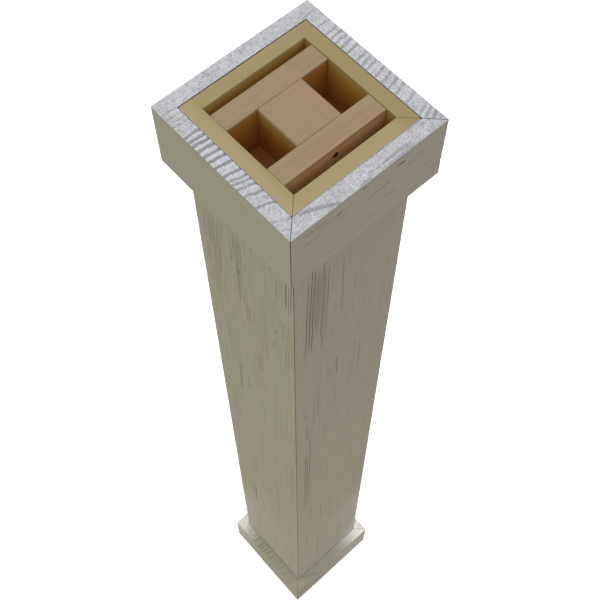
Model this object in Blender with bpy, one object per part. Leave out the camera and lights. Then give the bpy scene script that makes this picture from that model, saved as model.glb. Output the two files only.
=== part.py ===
"""Square column wrap: a hollow square shaft, a collar round each end and a wooden mounting block in its top.

Units are metres, +Z is up, and the origin is the centre of the underside, on the collars' axis.
The front is the -Y side, where a mitred panel closes each three-sided channel.
"""
import math

import bmesh
import bpy
from mathutils import Vector

INCH = 0.0254

# Shaft: straight, open at both ends
SHAFT_HEIGHT = 96.0 * INCH
SHAFT_WIDTH = 10.0 * INCH
SHAFT_WALL = 1.0 * INCH

# Collars: one moulding, cut for the capital and for the base
COLLAR_WALL = 1.125 * INCH
CAPITAL_HEIGHT = 5.5 * INCH
BASE_HEIGHT = 5.5 * INCH

# Mounting block: two boards on edge, a core between them and a plate under all three
BOARD_THICKNESS = 1.5 * INCH
BOARD_HEIGHT = 3.5 * INCH
CORE_WIDTH = 3.5 * INCH
CORE_DEPTH = 3.5 * INCH
CORE_EASE = 0.004
PLATE_THICKNESS = 0.75 * INCH
BLOCK_DROP = 0.0012
BLOCK_SHIFT_Y = 0.0028
CORE_SHIFT_X = 0.0028

# Screw hole, drilled into the front board from its outer face
HOLE_DIAMETER = 0.0115
HOLE_DEPTH = 0.026
HOLE_DROP = 0.0215
HOLE_SIDES = 24

# Fits
TOUCH_GAP = 0.0003
MITRE_GAP = 0.0005
BOARD_END_GAP = 0.0005
SEAM_GAP = 0.0011
SHAFT_SHIFT_X = -0.0004
SHAFT_SHIFT_Y = -0.0008

# Eased arrises at the two moulded corners
CORNER_EASE = 0.0015
EASE_STEPS = 2
CORE_EASE_STEPS = 3
CRISP_ANGLE = math.radians(35.0)

# Raised grain: boat-shaped cuts, whose widest section stands this far outside the face
CUT_PROUD = 0.0002
GROOVE_WIDTH = 0.0024
GROOVE_DEPTH = 0.0009

# How uneven the cuts of a row are: shares of the patch, of the pitch and of the depth
GROOVE_REACH = 0.62
REACH_SWAY = 0.3
PLACE_SWAY = 0.15
DEPTH_SWAY = 0.2
SWAY_RATES = (2.4, 0.7)

# Furrows: half-width as a share of their pitch, and depth at a row's ends as a share of its middle's
FURROW_HALF_WIDTH = 0.32
FURROW_END_DEPTH = 0.45

# Grooves of the shaft: span across the face, height range, lean, count, width and depth
LEFT_GRAIN = [
    ((0.09, 0.28), (0.785, 0.925), 0.004, 10, GROOVE_WIDTH, GROOVE_DEPTH),
    ((0.36, 0.48), (0.790, 0.925), 0.0, 5, GROOVE_WIDTH, GROOVE_DEPTH),
    ((0.86, 0.97), (0.830, 0.920), -0.003, 4, GROOVE_WIDTH, GROOVE_DEPTH),
    ((0.28, 0.31), (0.590, 0.665), 0.005, 1, GROOVE_WIDTH, GROOVE_DEPTH),
    ((0.66, 0.70), (0.260, 0.540), 0.0, 1, 0.0036, 0.0011),
    ((0.28, 0.32), (0.235, 0.320), 0.004, 1, 0.0030, 0.0011),
]
FRONT_GRAIN = [
    ((0.12, 0.25), (0.750, 0.925), 0.007, 5, 0.0034, 0.0015),
    ((0.26, 0.31), (0.760, 0.925), -0.003, 2, 0.0028, 0.0012),
    ((0.34, 0.50), (0.800, 0.925), -0.002, 4, GROOVE_WIDTH, GROOVE_DEPTH),
    ((0.68, 0.71), (0.650, 0.735), 0.0, 1, GROOVE_WIDTH, GROOVE_DEPTH),
    ((0.18, 0.27), (0.600, 0.700), -0.003, 3, GROOVE_WIDTH, GROOVE_DEPTH),
    ((0.10, 0.18), (0.370, 0.545), 0.002, 2, 0.0028, 0.0011),
    ((0.32, 0.35), (0.110, 0.180), 0.0, 1, 0.0030, 0.0011),
]

# Furrows across the collars' top edges: side, span along the wall from its back corner, count, depth
CAPITAL_FURROWS = [
    (-1, (0.24, 0.56), 8, 0.0018),
    (-1, (0.56, 0.82), 4, 0.0014),
    (1, (0.15, 0.97), 18, 0.0009),
]
BASE_FURROWS = [
    (-1, (0.26, 0.60), 8, 0.0016),
    (-1, (0.60, 0.82), 4, 0.0012),
    (1, (0.25, 0.85), 12, 0.0009),
]

# Lying grooves in the collars' front faces: span along the wall, drop below the top and extent
COLLAR_PATCH_SPAN = (0.08, 0.38)
COLLAR_PATCH_DROP = 0.018
COLLAR_PATCH_HEIGHT = 0.038
COLLAR_PATCH_COUNT = 4

# Colours, linear, with roughness
LIMED_SKIN = ((0.47, 0.46, 0.40), 0.7)
SPRUCE = ((0.50, 0.34, 0.19), 0.6)
CORE_SPRUCE = ((0.54, 0.38, 0.22), 0.6)
PLATE_SPRUCE = ((0.44, 0.29, 0.15), 0.6)

# Sizes that follow from the ones above
SHAFT_HALF = SHAFT_WIDTH / 2.0
BORE_HALF = SHAFT_HALF - SHAFT_WALL
COLLAR_HALF = SHAFT_HALF + SEAM_GAP + COLLAR_WALL
BLOCK_TOP = SHAFT_HEIGHT - BLOCK_DROP
BLOCK_UNDERSIDE = BLOCK_TOP - BOARD_HEIGHT
BOARD_LENGTH = 2.0 * (BORE_HALF - BOARD_END_GAP)
BOARD_OFFSET = CORE_DEPTH / 2.0 + TOUCH_GAP + BOARD_THICKNESS / 2.0
SHAFT_PLACE = (SHAFT_SHIFT_X, SHAFT_SHIFT_Y, 0.0)


def clear_scene():
    """Remove every object of the scene that the script runs in."""
    for thing in list(bpy.data.objects):
        bpy.data.objects.remove(thing, do_unlink=True)


def plain_material(name, colour, roughness):
    """A matt, non-metallic surface of one colour."""
    material = bpy.data.materials.new(name)
    material.use_nodes = True
    surface = material.node_tree.nodes["Principled BSDF"]
    surface.inputs["Base Color"].default_value = (*colour, 1.0)
    surface.inputs["Roughness"].default_value = roughness
    surface.inputs["Metallic"].default_value = 0.0
    return material


def make_object(name, builder, parent, place):
    """Turn a bmesh into a named object, with round stretches shaded smooth and the rest crisp."""
    mesh = bpy.data.meshes.new(name)
    builder.to_mesh(mesh)
    builder.free()
    mesh.shade_smooth()
    mesh.set_sharp_from_angle(angle=CRISP_ANGLE)
    thing = bpy.data.objects.new(name, mesh)
    bpy.context.scene.collection.objects.link(thing)
    thing.location = place
    thing.parent = parent
    return thing


def make_piece(name, builder, finish, parent, place=(0.0, 0.0, 0.0)):
    """A named piece with a material of its own. finish is its colour and roughness."""
    piece = make_object(name, builder, parent, place)
    piece.data.materials.append(plain_material(name + "_surface", *finish))
    return piece


def cut_away(piece, cutter, label):
    """Take the cutter's shape out of the piece, as a live Boolean."""
    cutter.hide_render = True
    cutter.display_type = "WIRE"
    modifier = piece.modifiers.new(label, "BOOLEAN")
    modifier.operation = "DIFFERENCE"
    modifier.solver = "EXACT"
    modifier.object = cutter


def prism(plan, low, high):
    """A bmesh prism: the plan's corners, counter-clockwise from above, carried from low to high."""
    builder = bmesh.new()
    corners = [builder.verts.new((x, y, low)) for x, y in plan]
    underside = builder.faces.new(corners)
    lifted = bmesh.ops.extrude_face_region(builder, geom=[underside])["geom"]
    top_corners = [item for item in lifted if isinstance(item, bmesh.types.BMVert)]
    bmesh.ops.translate(builder, verts=top_corners, vec=(0.0, 0.0, high - low))
    bmesh.ops.recalc_face_normals(builder, faces=builder.faces)
    return builder


def upright_edges(builder, places):
    """The vertical edges that stand over the given plan places."""
    def stands_over(edge, place):
        ends = [vertex.co for vertex in edge.verts]
        return all(math.dist(end[:2], place) < TOUCH_GAP for end in ends)

    return [edge for edge in builder.edges if any(stands_over(edge, place) for place in places)]


def ease(builder, edges, radius, steps):
    """Round the given edges."""
    bmesh.ops.bevel(builder, geom=edges, offset=radius, segments=steps, profile=0.5, affect="EDGES")


def channel(outer, inner, low, high):
    """Three walls in one piece, left, back and right, cut at 45 degrees along both front mitres."""
    step = MITRE_GAP / math.sqrt(2.0)
    plan = [
        (-outer, -outer + step),
        (-inner, -inner + step),
        (-inner, inner),
        (inner, inner),
        (inner, -inner + step),
        (outer, -outer + step),
        (outer, outer),
        (-outer, outer),
    ]
    builder = prism(plan, low, high)
    moulded_corners = [(-outer, outer), (outer, outer)]
    ease(builder, upright_edges(builder, moulded_corners), CORNER_EASE, EASE_STEPS)
    return builder


def front_panel(outer, inner, low, high):
    """The front wall, whose mitred ends face the channel's across the glue line."""
    step = MITRE_GAP / math.sqrt(2.0)
    plan = [
        (-outer + step, -outer),
        (outer - step, -outer),
        (inner - step, -inner),
        (-inner + step, -inner),
    ]
    return prism(plan, low, high)


def block(width, depth, low, high):
    """A rectangular block centred on the vertical axis."""
    x = width / 2.0
    y = depth / 2.0
    return prism([(-x, -y), (x, -y), (x, y), (-x, y)], low, high)


def boat(builder, centre, along, across, into):
    """Add one octahedron: pointed at both ends of its length, widest and deepest at its centre."""
    arms = [Vector(arm) for arm in (along, across, into)]
    middle = Vector(centre)
    near = [builder.verts.new(middle + arm) for arm in arms]
    far = [builder.verts.new(middle - arm) for arm in arms]
    for pick in range(2 ** len(arms)):
        ends = [far[axis] if pick >> axis & 1 else near[axis] for axis in range(len(arms))]
        builder.faces.new(ends)


def cut_grain(piece, builder):
    """Cut a bmesh of boats out of a piece."""
    bmesh.ops.recalc_face_normals(builder, faces=builder.faces)
    cutter = make_object(piece.name + "_grain_cutter", builder, piece.parent, piece.location)
    cut_away(piece, cutter, "raised_grain")


def sway(number):
    """A fixed, uneven value from -1 to 1 for the numbered cut of a row."""
    quick, slow = SWAY_RATES
    return math.sin(quick * number) * math.cos(slow * number)


def edge_furrows(builder, side, top, span, count, depth):
    """Add a row of furrows that run from a collar's top outer edge to its seam.

    side is -1 for the left wall and 1 for the right one. span gives where along the wall the row
    starts and ends, as shares of the wall's length from its back corner. The furrows are deepest
    in the middle of the row.
    """
    start, end = span
    pitch = 2.0 * COLLAR_HALF * (end - start) / count
    for number in range(count):
        share = (number + 0.5) / count
        swell = FURROW_END_DEPTH + (1.0 - FURROW_END_DEPTH) * math.sin(math.pi * share)
        y = COLLAR_HALF * (1.0 - 2.0 * start) - pitch * (number + 0.5 + PLACE_SWAY * sway(number))
        boat(
            builder,
            centre=(side * (COLLAR_HALF + CUT_PROUD), y, top + CUT_PROUD),
            along=(COLLAR_WALL, 0.0, 0.0),
            across=(0.0, FURROW_HALF_WIDTH * pitch, 0.0),
            into=(0.0, 0.0, depth * swell + CUT_PROUD),
        )


def groove_row(builder, corner, run, spread, out, count, width, depth):
    """Add a row of grooves to a flat face.

    corner is the corner of the row's patch where both run and spread start. run is the vector
    that the grooves follow, from end to end of the patch, and spread the one from the first
    groove to the last. out is the face's outward normal. Lengths and places vary from groove to
    groove, and none leaves the patch.
    """
    for number in range(count):
        length = GROOVE_REACH + REACH_SWAY * sway(number + 1)
        slack = (1.0 - length) / 2.0
        middle = corner + out * CUT_PROUD
        middle = middle + run * (0.5 + slack * sway(3 * number))
        middle = middle + spread * ((number + 0.5 + PLACE_SWAY * sway(number)) / count)
        deepest = depth * (1.0 - DEPTH_SWAY + DEPTH_SWAY * sway(2 * number))
        boat(
            builder,
            centre=middle,
            along=run * (length / 2.0),
            across=spread.normalized() * (width / 2.0),
            into=-out * (deepest + CUT_PROUD),
        )


def shaft_grooves(face, rows):
    """The upright grooves of one face of the shaft, as a bmesh of cuts.

    face is the outward normal in plan. Each row gives its span across the face, as shares of the
    shaft's width from the left, its lowest and highest ends, as shares of the shaft's height, how
    far its foot leans to the left in metres, and the count, width and depth of its grooves.
    """
    builder = bmesh.new()
    out = Vector((*face, 0.0))
    rightward = Vector((-out.y, out.x, 0.0))
    for (start, end), (low, high), lean, count, width, depth in rows:
        across_face = (start - 0.5) * SHAFT_WIDTH - lean / 2.0
        corner = out * SHAFT_HALF + rightward * across_face
        corner.z = low * SHAFT_HEIGHT
        run = rightward * lean
        run.z = (high - low) * SHAFT_HEIGHT
        spread = rightward * ((end - start) * SHAFT_WIDTH)
        groove_row(builder, corner, run, spread, out, count, width, depth)
    return builder


def collar_grooves(top):
    """The lying grooves in a collar's front face, as a bmesh of cuts."""
    builder = bmesh.new()
    start, end = COLLAR_PATCH_SPAN
    corner = Vector(((2.0 * start - 1.0) * COLLAR_HALF, -COLLAR_HALF, top - COLLAR_PATCH_DROP))
    run = Vector((2.0 * (end - start) * COLLAR_HALF, 0.0, 0.0))
    spread = Vector((0.0, 0.0, -COLLAR_PATCH_HEIGHT))
    out = Vector((0.0, -1.0, 0.0))
    groove_row(builder, corner, run, spread, out, COLLAR_PATCH_COUNT, GROOVE_WIDTH, GROOVE_DEPTH)
    return builder


def build_shaft(parent):
    """The hollow box that stands the full height."""
    walls = channel(SHAFT_HALF, BORE_HALF, 0.0, SHAFT_HEIGHT)
    shaft = make_piece("shaft_channel", walls, LIMED_SKIN, parent, SHAFT_PLACE)
    cut_grain(shaft, shaft_grooves((-1.0, 0.0), LEFT_GRAIN))

    panel = front_panel(SHAFT_HALF, BORE_HALF, 0.0, SHAFT_HEIGHT)
    front = make_piece("shaft_front_panel", panel, LIMED_SKIN, parent, SHAFT_PLACE)
    cut_grain(front, shaft_grooves((0.0, -1.0), FRONT_GRAIN))


def build_collar(name, low, high, furrows, parent):
    """One collar: a channel and its front panel. furrows lists (side, span, count, depth) rows."""
    inner = COLLAR_HALF - COLLAR_WALL
    walls = make_piece(name + "_channel", channel(COLLAR_HALF, inner, low, high), LIMED_SKIN, parent)
    grain = bmesh.new()
    for side, span, count, depth in furrows:
        edge_furrows(grain, side, high, span, count, depth)
    cut_grain(walls, grain)

    panel = front_panel(COLLAR_HALF, inner, low, high)
    front = make_piece(name + "_front_panel", panel, LIMED_SKIN, parent)
    cut_grain(front, collar_grooves(high))


def board(name, offset, parent):
    """One board on edge across the bore, offset to the back of the core's centre or to its front."""
    solid = block(BOARD_LENGTH, BOARD_THICKNESS, BLOCK_UNDERSIDE, BLOCK_TOP)
    place = (SHAFT_SHIFT_X, SHAFT_SHIFT_Y + BLOCK_SHIFT_Y + offset, 0.0)
    return make_piece(name, solid, SPRUCE, parent, place)


def drill_screw_hole(front_board):
    """Cut the blind round hole in the front board's outer face, halfway along the board."""
    length = HOLE_DEPTH + HOLE_DIAMETER
    builder = bmesh.new()
    bmesh.ops.create_cone(
        builder,
        cap_ends=True,
        segments=HOLE_SIDES,
        radius1=HOLE_DIAMETER / 2.0,
        radius2=HOLE_DIAMETER / 2.0,
        depth=length,
    )
    x, y, _ = front_board.location
    outer_face = y - BOARD_THICKNESS / 2.0
    place = (x, outer_face + HOLE_DEPTH - length / 2.0, BLOCK_TOP - HOLE_DROP)
    cutter = make_object("screw_hole_cutter", builder, front_board.parent, place)
    cutter.rotation_euler = (math.pi / 2.0, 0.0, 0.0)
    cut_away(front_board, cutter, "screw_hole")


def core_block(parent):
    """The square core between the boards, its two top edges that run front to back eased."""
    core = block(CORE_WIDTH, CORE_DEPTH, BLOCK_UNDERSIDE, BLOCK_TOP)

    def runs_along_top(edge):
        one, other = (end.co for end in edge.verts)
        level = min(one.z, other.z) > BLOCK_TOP - TOUCH_GAP
        return level and math.isclose(one.x, other.x, abs_tol=TOUCH_GAP)

    ease(core, [edge for edge in core.edges if runs_along_top(edge)], CORE_EASE, CORE_EASE_STEPS)
    place = (SHAFT_SHIFT_X + CORE_SHIFT_X, SHAFT_SHIFT_Y + BLOCK_SHIFT_Y, 0.0)
    make_piece("block_centre", core, CORE_SPRUCE, parent, place)


def floor_plate(parent):
    """The square plate that the boards and the core stand on."""
    width = 2.0 * (BORE_HALF - TOUCH_GAP)
    top = BLOCK_UNDERSIDE - TOUCH_GAP
    plate = block(width, width, top - PLATE_THICKNESS, top)
    make_piece("block_plate", plate, PLATE_SPRUCE, parent, SHAFT_PLACE)


def build_block(parent):
    """The mounting block inside the shaft's top."""
    board("block_board_back", BOARD_OFFSET, parent)
    drill_screw_hole(board("block_board_front", -BOARD_OFFSET, parent))
    core_block(parent)
    floor_plate(parent)


def build():
    """Make the whole column wrap."""
    clear_scene()
    root = bpy.data.objects.new("column_wrap", None)
    bpy.context.scene.collection.objects.link(root)
    build_shaft(root)
    build_collar("capital", SHAFT_HEIGHT - CAPITAL_HEIGHT, SHAFT_HEIGHT, CAPITAL_FURROWS, root)
    build_collar("base", 0.0, BASE_HEIGHT, BASE_FURROWS, root)
    build_block(root)


build()
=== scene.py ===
"""Square column wrap: the finished skin, foam and wood, with a floor, soft light and the camera.

Lengths are metres. A place on a moulded wall has three values: along, the distance from the wall's
left edge seen from outside; inward, the depth in from its outer face; and height above the floor.
Grooves follow the run of the grain, and cross is the distance across it.
"""
import math

import bpy
import numpy as np
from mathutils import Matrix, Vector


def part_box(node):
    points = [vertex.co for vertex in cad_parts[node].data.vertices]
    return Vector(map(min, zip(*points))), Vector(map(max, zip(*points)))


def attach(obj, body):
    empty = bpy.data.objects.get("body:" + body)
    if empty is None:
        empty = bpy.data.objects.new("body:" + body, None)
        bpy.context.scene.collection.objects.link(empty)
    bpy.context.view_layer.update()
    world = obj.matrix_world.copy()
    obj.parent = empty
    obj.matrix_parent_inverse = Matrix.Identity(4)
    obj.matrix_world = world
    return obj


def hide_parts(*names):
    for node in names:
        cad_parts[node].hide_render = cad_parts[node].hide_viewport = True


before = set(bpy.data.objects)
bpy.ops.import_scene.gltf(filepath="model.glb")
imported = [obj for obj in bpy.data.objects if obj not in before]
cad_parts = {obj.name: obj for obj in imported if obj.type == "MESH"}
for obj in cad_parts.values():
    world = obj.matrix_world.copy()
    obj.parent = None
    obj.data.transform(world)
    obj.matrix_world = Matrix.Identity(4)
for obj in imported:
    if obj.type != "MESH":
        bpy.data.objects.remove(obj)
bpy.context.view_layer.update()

MM = 0.001

# Walls and fits, as in the solids
SHAFT_WALL = 25.4 * MM
COLLAR_WALL = 28.575 * MM
MITRE_GAP = 0.5 * MM
CORNER_EASE = 1.5 * MM

# Small eases that only the finished surface has
MITRE_EASE = 0.9 * MM
MITRE_NICK = 0.5 * MM
OUTER_ARRIS = 0.8 * MM
INNER_ARRIS = 0.5 * MM
RELIEF_FADE = 4.0 * MM

# Depths of the grain's parts, and how much calmer the left collar wall is
LANE_DRIFT = 3.0 * MM
KNOT_DEPTH = 1.3 * MM
STREAK_DEPTH = 0.56 * MM
SWELL_DEPTH = 0.16 * MM
GRANULE_DEPTH = 0.14 * MM
LEFT_CALM = 0.45

# Timbers: eased edges and ends, and the waviness of their faces
TIMBER_EDGE = 1.0 * MM
CORE_UPPER_EDGE = 4.0 * MM
TIMBER_END = 0.8 * MM
TIMBER_WAVE = 0.15 * MM

# Size of the table of random heights behind every uneven surface
TABLE_SIZE = 256

# Walls in plan: the outward direction of each, walked counter-clockwise from above
OUTWARD = {
    "front": (0.0, -1.0),
    "right": (1.0, 0.0),
    "back": (0.0, 1.0),
    "left": (-1.0, 0.0),
}

# Patches of grooves on the shaft, each: start and end across the face in mm, lowest and highest end
# in mm, how far the foot leans to the left in mm, number of lanes, groove width and depth in mm,
# and how broken into dashes the grooves are, from 0 to 1. A very wide row is a broad shallow dip.
SHAFT_LEFT_PATCHES = [
    (24, 73, 2080, 2215, 11, 7, 3.0, 1.4, 0.25),
    (20, 69, 1985, 2105, 8, 7, 3.0, 1.3, 0.3),
    (24, 70, 1895, 2000, 7, 6, 3.0, 1.0, 0.45),
    (90, 125, 2090, 2215, 5, 5, 3.0, 1.3, 0.3),
    (102, 109, 1935, 2150, 3, 1, 5.0, 1.2, 0.1),
    (110, 123, 2035, 2115, 3, 2, 3.0, 1.0, 0.3),
    (111, 117, 1960, 2010, 2, 1, 3.2, 0.9, 0.0),
    (134, 147, 2050, 2108, 3, 2, 3.4, 1.0, 0.1),
    (120, 146, 1880, 1980, 6, 4, 3.0, 1.3, 0.1),
    (191, 202, 2195, 2215, 3, 2, 3.0, 0.9, 0.1),
    (209, 228, 2090, 2212, 3, 3, 2.8, 1.0, 0.1),
    (234, 252, 2095, 2215, 3, 3, 3.0, 1.6, 0.05),
    (184, 207, 2045, 2115, 2, 3, 2.8, 0.8, 0.3),
    (216, 251, 1960, 2065, 3, 5, 3.0, 1.0, 0.2),
    (228, 250, 1855, 1965, 3, 3, 3.0, 1.1, 0.1),
    (193, 200, 1893, 1948, 2, 1, 3.6, 1.1, 0.0),
    (160, 183, 1800, 1918, 4, 2, 3.8, 1.0, 0.1),
    (72, 86, 1818, 1908, 3, 2, 3.2, 1.0, 0.2),
    (62, 71, 1838, 1925, 4, 1, 4.0, 0.9, 0.0),
    (50, 66, 1695, 1835, 7, 2, 3.6, 1.0, 0.2),
    (138, 171, 1695, 1805, 7, 4, 3.4, 1.1, 0.2),
    (92, 108, 1740, 1788, 4, 2, 3.2, 0.8, 0.2),
    (230, 241, 1700, 1850, 2, 2, 3.2, 0.9, 0.3),
    (50, 64, 1600, 1700, 5, 2, 3.2, 0.7, 0.4),
    (136, 168, 1600, 1700, 5, 4, 3.2, 0.9, 0.5),
    (70, 80, 1455, 1640, 7, 2, 3.2, 1.5, 0.15),
    (98, 109, 1525, 1615, 4, 2, 3.0, 1.1, 0.3),
    (50, 55, 1495, 1555, 1, 1, 3.0, 0.9, 0.2),
    (187, 193, 1555, 1640, 0, 1, 3.0, 1.0, 0.1),
    (213, 240, 1430, 1530, 3, 4, 3.0, 1.2, 0.4),
    (168, 176, 635, 1065, -3, 1, 5.6, 1.3, 0.0),
    (167, 175, 1000, 1375, 0, 1, 3.6, 1.0, 0.3),
    (70, 78, 870, 1035, 3, 1, 3.8, 1.2, 0.2),
    (67, 77, 575, 750, 5, 1, 4.2, 1.6, 0.0),
    (66, 75, 475, 600, 4, 1, 3.4, 0.8, 0.3),
    (86, 94, 870, 1140, 3, 1, 3.4, 0.9, 0.3),
    (226, 243, 830, 1320, -3, 2, 3.4, 1.0, 0.5),
    (180, 200, 1015, 1135, 2, 2, 3.2, 0.8, 0.5),
    (216, 225, 635, 720, 0, 1, 3.2, 0.8, 0.3),
    (159, 168, 215, 430, 0, 1, 4.4, 0.8, 0.3),
    (226, 234, 270, 450, 0, 1, 3.2, 0.8, 0.3),
    (22, 74, 1900, 2216, 9, 1, 56.0, 0.85, 0.0),
    (98, 128, 1960, 2216, 5, 1, 32.0, 0.85, 0.0),
    (20, 60, 900, 1500, 8, 5, 3.2, 0.7, 0.9),
    (100, 160, 180, 560, 5, 6, 3.2, 0.7, 0.9),
    (120, 215, 700, 1400, 4, 9, 3.2, 0.7, 0.9),
]
SHAFT_FRONT_PATCHES = [
    (32, 53, 1855, 2238, 11, 3, 2.5, 1.9, 0.0),
    (53, 65, 1925, 2210, 9, 2, 2.8, 1.5, 0.2),
    (63, 81, 1855, 2236, 3, 3, 2.6, 1.4, 0.25),
    (83, 91, 2065, 2215, -1, 1, 3.0, 1.1, 0.1),
    (94, 100, 2150, 2236, -1, 1, 2.8, 0.7, 0.2),
    (102, 108, 2175, 2232, 0, 1, 2.8, 0.8, 0.1),
    (109, 115, 1968, 2236, -3, 1, 3.0, 1.6, 0.05),
    (116, 129, 2145, 2232, -1, 2, 3.0, 1.1, 0.15),
    (139, 146, 2000, 2115, -6, 1, 3.4, 1.0, 0.0),
    (142, 148, 1912, 1992, -4, 1, 3.6, 1.1, 0.0),
    (162, 168, 2005, 2062, -4, 1, 2.8, 0.7, 0.0),
    (107, 113, 1690, 1805, -5, 1, 3.2, 1.5, 0.0),
    (172, 177, 1580, 1788, -3, 1, 3.2, 1.6, 0.0),
    (62, 70, 1735, 1802, -1, 1, 3.2, 0.9, 0.0),
    (83, 98, 1690, 1765, -2, 2, 3.2, 1.0, 0.2),
    (109, 118, 1490, 1645, 1, 1, 3.0, 1.1, 0.3),
    (46, 68, 1495, 1720, -2, 3, 3.0, 1.2, 0.3),
    (30, 43, 1395, 1550, 0, 2, 3.2, 1.3, 0.4),
    (86, 100, 1395, 1485, 0, 2, 3.0, 0.9, 0.4),
    (26, 48, 890, 1450, 3, 3, 3.2, 1.5, 0.1),
    (64, 70, 1245, 1330, 0, 1, 3.0, 0.9, 0.1),
    (87, 92, 1355, 1445, 0, 1, 3.0, 0.9, 0.1),
    (110, 116, 1350, 1445, 0, 1, 3.0, 0.9, 0.1),
    (77, 84, 1010, 1125, 0, 1, 3.0, 0.9, 0.2),
    (45, 70, 765, 925, 2, 3, 3.2, 1.1, 0.4),
    (85, 91, 680, 870, -1, 1, 3.8, 1.5, 0.0),
    (33, 42, 500, 620, 2, 1, 3.4, 1.3, 0.1),
    (94, 98, 595, 705, 0, 1, 3.0, 0.9, 0.1),
    (80, 86, 260, 460, 0, 1, 3.8, 1.5, 0.0),
    (140, 146, 395, 510, -1, 1, 3.2, 0.9, 0.2),
    (158, 178, 210, 455, -5, 2, 3.4, 1.1, 0.3),
    (12, 18, 185, 280, 0, 1, 3.2, 1.1, 0.1),
    (30, 84, 1990, 2236, 8, 1, 60.0, 0.75, 0.0),
    (60, 110, 950, 1250, 0, 5, 3.0, 0.7, 0.9),
    (130, 230, 250, 1000, -4, 9, 3.2, 0.7, 0.95),
    (150, 240, 1100, 2200, -4, 9, 3.0, 0.7, 0.95),
    (8, 30, 200, 1800, 2, 2, 3.0, 0.7, 0.9),
]
# Small knots: place across the face, place along the grain, and size, in mm
SHAFT_FRONT_KNOTS = [
    (87, 2221, 2.2),
    (37, 1500, 2.6),
    (28, 1602, 2.0),
    (184, 1540, 2.4),
    (170, 1907, 1.8),
    (127, 697, 3.0),
]
SHAFT_LEFT_KNOTS = [
    (196, 2206, 2.2),
    (108, 2075, 2.2),
    (204, 1985, 2.0),
]
# The same for a collar: the distance below its top stands for across, and along the wall for height
COLLAR_FRONT_PATCHES = [
    (17, 25, 25, 84, 0, 1, 4.4, 1.1, 0.3),
    (26, 34, 33, 114, 0, 1, 4.4, 1.1, 0.2),
    (38, 51, 27, 66, 0, 2, 3.8, 1.1, 0.25),
    (38, 53, 82, 115, 1, 2, 4.2, 1.2, 0.15),
    (39, 45, 120, 147, 0, 1, 4.0, 0.9, 0.1),
    (46, 52, 138, 208, -4, 1, 4.2, 1.3, 0.05),
    (30, 43, 220, 270, -9, 2, 3.8, 1.1, 0.2),
    (10, 16, 137, 152, 0, 1, 4.0, 1.1, 0.0),
    (9, 15, 153, 165, 0, 1, 3.8, 0.9, 0.0),
    (14, 20, 168, 182, 2, 1, 4.0, 0.9, 0.0),
    (22, 28, 203, 228, 3, 1, 4.6, 1.1, 0.0),
    (10, 16, 44, 56, 0, 1, 4.0, 0.9, 0.0),
    (84, 92, 184, 216, 0, 1, 6.0, 0.8, 0.0),
    (118, 124, 68, 85, 0, 1, 4.5, 0.9, 0.0),
    (117, 125, 117, 130, 0, 1, 5.0, 1.0, 0.0),
    (84, 90, 138, 152, 0, 1, 4.4, 0.7, 0.0),
    (60, 110, 20, 300, 4, 6, 3.6, 0.6, 0.9),
]
COLLAR_FRONT_KNOTS = [
    (13, 143, 2.0),
    (24, 220, 2.2),
    (30, 95, 2.0),
]
COLLAR_LEFT_PATCHES = [
    (44, 53, 202, 222, 0, 1, 6.0, 1.2, 0.0),
]
COLLAR_LEFT_KNOTS = [
    (12, 280, 2.4),
]

# Furrows across a collar's top edge, each: share of the wall's length from its back corner, depth in mm
LEFT_FURROWS = [
    (0.086, 0.4), (0.123, 0.5), (0.148, 0.4), (0.175, 0.5),
    (0.256, 1.4), (0.288, 1.7), (0.319, 1.7), (0.355, 1.9),
    (0.396, 1.6), (0.433, 1.8), (0.479, 1.9), (0.539, 1.6),
    (0.577, 1.0), (0.603, 0.9), (0.636, 1.1), (0.684, 1.2),
    (0.763, 1.1), (0.868, 0.5), (0.927, 0.5),
]
RIGHT_FURROWS = [
    (0.079, 0.4), (0.171, 0.6), (0.229, 0.7), (0.265, 0.8), (0.299, 0.8),
    (0.337, 0.8), (0.379, 0.9), (0.440, 0.8), (0.478, 0.7), (0.509, 0.7),
    (0.567, 0.8), (0.611, 0.8), (0.654, 0.8), (0.700, 0.9), (0.770, 0.7),
    (0.852, 0.6), (0.883, 0.7), (0.918, 1.1), (0.956, 0.6),
]
FURROW_HALF_WIDTH = 2.3 * MM
FURROW_LIP = 0.22
TOP_HOLLOW = 0.45 * MM
LEAN_FROM = 0.20
LEAN_RATE = 0.06

# Screw hole in the front board
HOLE_DIAMETER = 11.5 * MM
HOLE_DEPTH = 26.0 * MM
HOLE_DROP = 21.5 * MM
HOLE_SIDES = 48

# Where the foam and the wood start to be painted amber, as the warm shade down the pockets, and where the
# bore's foam turns pale again below
AMBER_FROM = 2.4384
BORE_SHOWN_TO = 0.6
# Distance from the column's axis where the narrow gap between shaft and collar begins; past it the foam is
# painted dark as the gap's shade
GAP_FROM = 0.1277
# Height of the capital's foot, above which the streaks in the paint are fainter
CAPITAL_FOOT = 2.2987

# Height that parts the base from the capital
MID_HEIGHT = 1.0

# Floor and camera: the turns are azimuth, elevation and roll in degrees, and the lens is in mm
FLOOR_REACH = 12.0
CAMERA_PLACE = (-0.63281, -0.71339, 3.69069)
CAMERA_TURNS = (-41.559, 62.842, -0.276)
CAMERA_LENS = 63.0

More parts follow.
